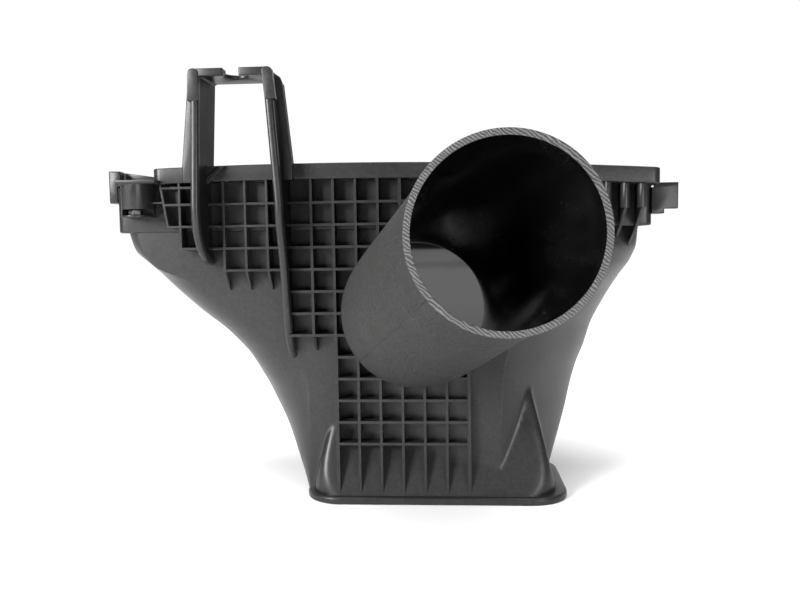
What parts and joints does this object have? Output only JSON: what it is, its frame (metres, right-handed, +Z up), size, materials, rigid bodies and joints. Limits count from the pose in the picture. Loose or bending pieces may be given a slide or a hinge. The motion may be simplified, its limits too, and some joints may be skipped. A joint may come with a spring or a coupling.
{
  "type": "engine air-intake box",
  "caption": "Open-topped plastic intake hopper with waffle ribs, a bent round inlet pipe, a rounded duct foot and a tall grommet bracket.",
  "frame": {"origin": "centre of the whole part's box, on the underside of the foot", "axes": "+Z up through the open top, +Y from the inlet pipe's mouth towards the rear wall, +X to the right seen from the pipe's mouth"},
  "size_m": [0.3922, 0.344, 0.2915],
  "materials": {
    "body_plastic": "satin moulded black plastic with fine mottling",
    "pipe_plastic": "spark-eroded grain outside, glossy inside",
    "seal_rubber": "matte",
    "nut_steel": "plain"
  },
  "bodies": {
    "root": {"front_shell": "body_plastic", "rear_shell": "body_plastic", "upper_wall": "body_plastic", "rim_frame": "body_plastic", "rim_seal": "seal_rubber", "foot_flange": "body_plastic", "foot_seal": "seal_rubber", "inlet_pipe": "pipe_plastic", "pipe_retainer": "body_plastic", "waffle_end": "body_plastic", "waffle_left": "body_plastic", "waffle_mid": "body_plastic", "waffle_low": "body_plastic", "bracket_leg_left": "body_plastic", "bracket_leg_right": "body_plastic", "bracket_bridge": "body_plastic", "bracket_brace": "body_plastic", "screw_boss": "body_plastic", "boss_nut": "nut_steel", "left_shelf": "body_plastic", "clip_lug_left": "body_plastic", "lug_right": "body_plastic", "end_rib_1": "body_plastic", "end_rib_2": "body_plastic", "end_rib_3": "body_plastic"}
  },
  "joints": []
}
